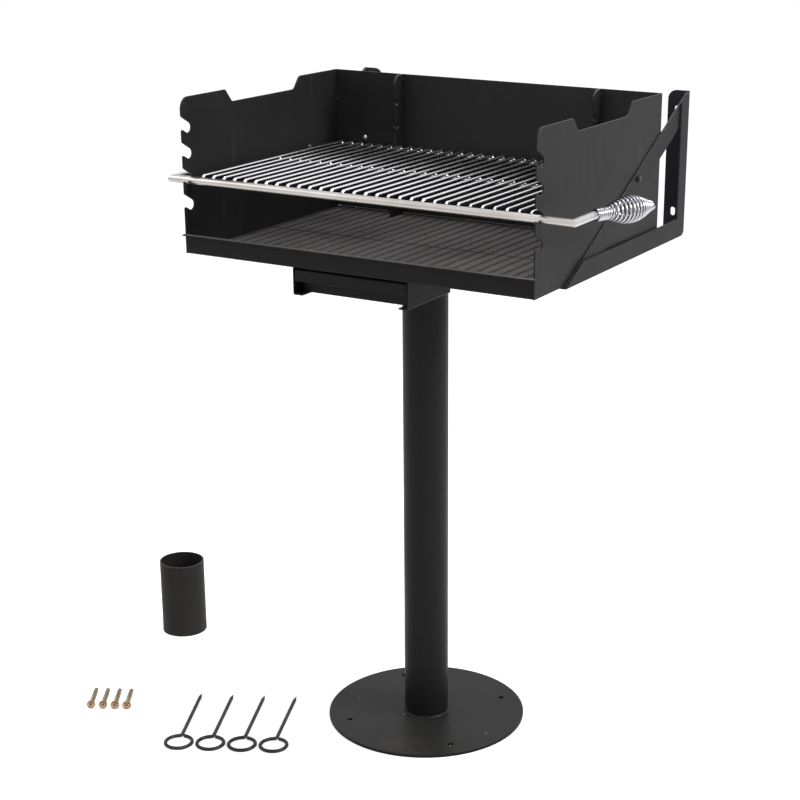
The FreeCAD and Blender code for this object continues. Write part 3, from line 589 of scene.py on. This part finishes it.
def thread(shape, place, radius, start, stop, pitch):
    """Ridge of a screw thread round the z axis of a placed piece."""
    steps = 14
    count = int((stop - start) / pitch * steps)
    root = radius - 0.1
    crest = radius + 0.28 * pitch
    profile = ((root, -0.45 * pitch), (crest, 0.0), (root, 0.45 * pitch))
    rows = []
    for k in range(count + 1):
        turn = 2 * math.pi * k / steps
        z = start + pitch * k / steps
        way = Vector((math.cos(turn), math.sin(turn), 0))
        row = []
        for r, dz in profile:
            row.append(shape.verts.new(place @ (way * r + Vector((0, 0, z + dz)))))
        rows.append(row)
    for here, there in zip(rows, rows[1:]):
        for j in range(2):
            shape.faces.new((here[j], here[j + 1], there[j + 1], there[j]))


# Places that the small pieces sit on, in millimetres


def low_high(node):
    low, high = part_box(node)
    return Vector(low) / MM, Vector(high) / MM


SHEET = 2.0
POST_RADIUS = 36.65
ROD_COUNT = 30
ROD_RADIUS = 2.5
STUD_REACH = 60.0
PLATE_TOP = low_high("base_plate")[1].z
TRAY_BOTTOM = low_high("firebox_tray")[0].z
FLOOR_TOP = TRAY_BOTTOM + SHEET
FLANGE_BOTTOM = low_high("post_flange")[0].z
INSIDE_X = low_high("right_side_wall")[0].x
ARM_INSIDE_X = low_high("right_support_arm")[0].x
BACK_FACE_Y = low_high("back_wall")[0].y

rng = random.Random(7)


def rod_places():
    low, high = low_high("grate_rods")
    first, last = low.x + ROD_RADIUS, high.x - ROD_RADIUS
    return [first + (last - first) * k / (ROD_COUNT - 1) for k in range(ROD_COUNT)]


def post_welds():
    """Beads round the post, on the base plate and under the flange."""
    shape = bmesh.new()
    ring_bead(shape, (0, 0, PLATE_TOP + 0.7), POST_RADIUS + 0.5, 1.2, rng)
    add_piece("foot_weld", shape, WELD_SMOOTH, "grill")
    shape = bmesh.new()
    ring_bead(shape, (0, 0, FLANGE_BOTTOM - 1.1), POST_RADIUS + 0.8, 2.0, rng)
    add_piece("flange_weld", shape, WELD, "grill")


def fin_tacks(shape):
    tack = (1.7, 1.7, 3.1)
    for fin in ("left_grate_fin", "right_grate_fin"):
        low, high = low_high(fin)
        for z in (high.z - 9.5, 868.0, FLOOR_TOP + 9):
            for x in (low.x - 0.5, high.x + 0.5):
                blob(shape, (x, BACK_FACE_Y - 0.8, z), tack, rng)


def side_welds(shape, side):
    """Corner tacks, stitches inside on the floor and stitches on the support arm."""
    tack = (1.8, 1.8, 4.2)
    for z in (992.0, 868.0, 835.0):
        blob(shape, (side * (INSIDE_X - 0.8), BACK_FACE_Y - 0.8, z), tack, rng)
    x, z, length = side * (INSIDE_X - 0.6), FLOOR_TOP + 0.5, 18
    for y in (-180.0, -60.0, 60.0, 170.0):
        weld_bead(shape, (x, y, z), (x, y + length, z), 1.3, rng)
    x, z, length = side * ARM_INSIDE_X, TRAY_BOTTOM - 0.7, 26
    for y in (-95.0, 20.0, 140.0):
        weld_bead(shape, (x, y, z), (x, y + length, z), 1.6, rng)


def firebox_welds():
    """Tacks and stitches of the firebox, and the seam along the floor's rear edge."""
    shape = bmesh.new()
    fin_tacks(shape)
    for side in (-1, 1):
        side_welds(shape, side)
    add_piece("firebox_welds", shape, WELD, "grill")
    shape = bmesh.new()
    half, y, z = INSIDE_X - 1, BACK_FACE_Y - 1.2, FLOOR_TOP + 1
    weld_bead(shape, (-half, y, z), (half, y, z), 2.0, rng)
    add_piece("floor_seam", shape, FLOOR_SHEET, "grill")


def grate_welds():
    """A weld spot where each rod meets the front bar and the two crossbars."""
    front = bmesh.new()
    cross = bmesh.new()
    bar_low, bar_high = low_high("grate_front_bar")
    bar_y = (bar_low.y + bar_high.y) / 2
    crossbars = (low_high("grate_mid_crossbar"), low_high("grate_rear_crossbar"))
    for x in rod_places():
        blob(front, (x, bar_y + 0.5, bar_high.z - 0.5), (3.0, 1.7, 1.5), rng)
        for low, high in crossbars:
            blob(cross, (x + 1.0, low.y + 1.4, high.z + 0.7), (3.7, 3.0, 2.0), rng)
    add_piece("bar_weld_spots", front, WELD_DULL, "grate")
    add_piece("grate_weld_spots", cross, WELD_BRIGHT, "grate")


ANCHOR_COUNT = 4
ANCHOR_FIRST = Vector((-505.4, -273.0, 0.0))
ANCHOR_STEP = Vector((18.4, 9.1, 0.0))
ANCHOR_HEADING = math.radians(122)
ANCHOR_WASHER_RADIUS = 7.5
ANCHOR_WASHER_T = 1.6
ANCHOR_SLEEVE_RADIUS = 4.0
ANCHOR_SLEEVE_LEN = 54.0
ANCHOR_CONE_LEN = 8.0


def anchor_threads():
    """Threads on the ends of the anchors' studs, laid down as the solids are."""
    shape = bmesh.new()
    rise = ANCHOR_WASHER_RADIUS - ANCHOR_SLEEVE_RADIUS
    tilt = math.atan2(rise, ANCHOR_SLEEVE_LEN + ANCHOR_CONE_LEN)
    height = ANCHOR_WASHER_RADIUS * math.cos(tilt) + ANCHOR_WASHER_T * math.sin(tilt)
    turned = Matrix.Rotation(ANCHOR_HEADING, 4, "Z")
    laid = turned @ Matrix.Rotation(math.pi / 2 + tilt, 4, "Y")
    for k in range(ANCHOR_COUNT):
        at = ANCHOR_FIRST + k * ANCHOR_STEP + Vector((0, 0, height))
        thread(shape, Matrix.Translation(at) @ laid, 2.85, -9.2, -5.4, 1.0)
    add_piece("anchor_threads", shape, YELLOW_ZINC, "anchor_bolts")


def stud_threads():
    """Threads on the flange studs' ends, below their nuts."""
    shape = bmesh.new()
    for x in (-STUD_REACH, STUD_REACH):
        for y in (-STUD_REACH, STUD_REACH):
            thread(shape, Matrix.Translation((x, y, 0)), 3.85, 791.6, 793.6, 1.25)
    add_piece("stud_threads", shape, ZINC, "grill")


DISC_NIBS = ((-120.5, -22.0, 1.5), (131.0, -29.0, 1.4), (73.0, -37.0, 1.1), (-22.0, -36.5, 1.6))


def scuffs():
    """Paint nibs on the disc, and two bare specks along the floor's rear seam."""
    shape = bmesh.new()
    for x, y, size in DISC_NIBS:
        blob(shape, (x, y, PLATE_TOP), (size, size * 0.7, 0.35), rng)
    z = FLOOR_TOP + 2.6
    blob(shape, (-296.0, BACK_FACE_Y - 1.6, z), (3.6, 1.3, 1.1), rng)
    blob(shape, (-262.0, BACK_FACE_Y - 1.9, z), (2.4, 1.1, 0.7), rng)
    add_piece("bare_specks", shape, SCUFF, "grill")


post_welds()
firebox_welds()
grate_welds()
anchor_threads()
stud_threads()
scuffs()


# Floor, world and lamps

FLOOR_GREY = 0.78
FLOOR_HALF = 14.0
FLOOR_DROP = 0.0003
FLOOR_GLOW = (("Is Camera Ray", 0.7), ("Is Transmission Ray", 0.7), ("Is Glossy Ray", 0.45))
WORLD_LIGHT = 0.42
WORLD_WHITE = (("Is Camera Ray", 1.0), ("Is Transmission Ray", 1.0), ("Is Glossy Ray", 1.0))
WHITE = (1, 1, 1, 1)
# Name, place, target, width in metres and power in watts
LAMPS = (
    ("overhead", (0.12, -0.02, 3.7), (0.05, 0, 0.8), 0.12, 58),
    ("right", (2.5, 0.4, 2.3), (0.3, 0, 0.85), 1.2, 68),
    ("left", (-2.4, -1.4, 2.6), (0, 0, 0.7), 2.0, 15),
)


def ray_share(tree, shares):
    """The largest of the given shares among the kinds that a ray is, or 0."""
    rays = tree.nodes.new("ShaderNodeLightPath")
    total = None
    for kind, share in shares:
        part = tree.nodes.new("ShaderNodeMath")
        part.operation = "MULTIPLY"
        part.inputs[1].default_value = share
        tree.links.new(rays.outputs[kind], part.inputs[0])
        if total is None:
            total = part.outputs[0]
            continue
        larger = tree.nodes.new("ShaderNodeMath")
        larger.operation = "MAXIMUM"
        tree.links.new(total, larger.inputs[0])
        tree.links.new(part.outputs[0], larger.inputs[1])
        total = larger.outputs[0]
    return total


def floor_material():
    """Pale floor that takes a shadow and is white to the camera."""
    material = bpy.data.materials.new("pale_floor")
    material.use_nodes = True
    tree = material.node_tree
    tree.nodes.clear()
    output = tree.nodes.new("ShaderNodeOutputMaterial")
    diffuse = tree.nodes.new("ShaderNodeBsdfDiffuse")
    diffuse.inputs[0].default_value = (FLOOR_GREY, FLOOR_GREY, FLOOR_GREY, 1)
    glow = tree.nodes.new("ShaderNodeEmission")
    both = tree.nodes.new("ShaderNodeAddShader")
    link(material, ray_share(tree, FLOOR_GLOW), glow.inputs[1])
    link(material, diffuse.outputs[0], both.inputs[0])
    link(material, glow.outputs[0], both.inputs[1])
    link(material, both.outputs[0], output.inputs[0])
    return material


def make_floor():
    half = FLOOR_HALF
    corners = [(-half, -half, 0), (half, -half, 0), (half, half, 0), (-half, half, 0)]
    mesh = bpy.data.meshes.new("floor")
    mesh.from_pydata(corners, [], [(0, 1, 2, 3)])
    floor = bpy.data.objects.new("floor", mesh)
    floor.location.z = -FLOOR_DROP
    scene.collection.objects.link(floor)
    dress(floor, floor_material())


def make_world():
    """Soft light from all round, and plain white to the camera and in reflections."""
    world = bpy.data.worlds.new("studio")
    scene.world = world
    world.use_nodes = True
    tree = world.node_tree
    tree.nodes.clear()
    output = tree.nodes.new("ShaderNodeOutputWorld")
    mix = tree.nodes.new("ShaderNodeMixShader")
    tree.links.new(ray_share(tree, WORLD_WHITE), mix.inputs[0])
    for socket, strength in ((mix.inputs[1], WORLD_LIGHT), (mix.inputs[2], 1.0)):
        background = tree.nodes.new("ShaderNodeBackground")
        background.inputs[0].default_value = WHITE
        background.inputs[1].default_value = strength
        tree.links.new(background.outputs[0], socket)
    tree.links.new(mix.outputs[0], output.inputs[0])


def make_lamp(name, place, target, size, power):
    data = bpy.data.lights.new(name, "AREA")
    data.shape = "DISK"
    data.size = size
    data.energy = power
    piece = bpy.data.objects.new(name, data)
    piece.location = place
    piece.rotation_mode = "QUATERNION"
    aim = Vector(target) - Vector(place)
    piece.rotation_quaternion = aim.to_track_quat("-Z", "Y")
    scene.collection.objects.link(piece)


make_floor()
make_world()
for lamp in LAMPS:
    make_lamp(*lamp)
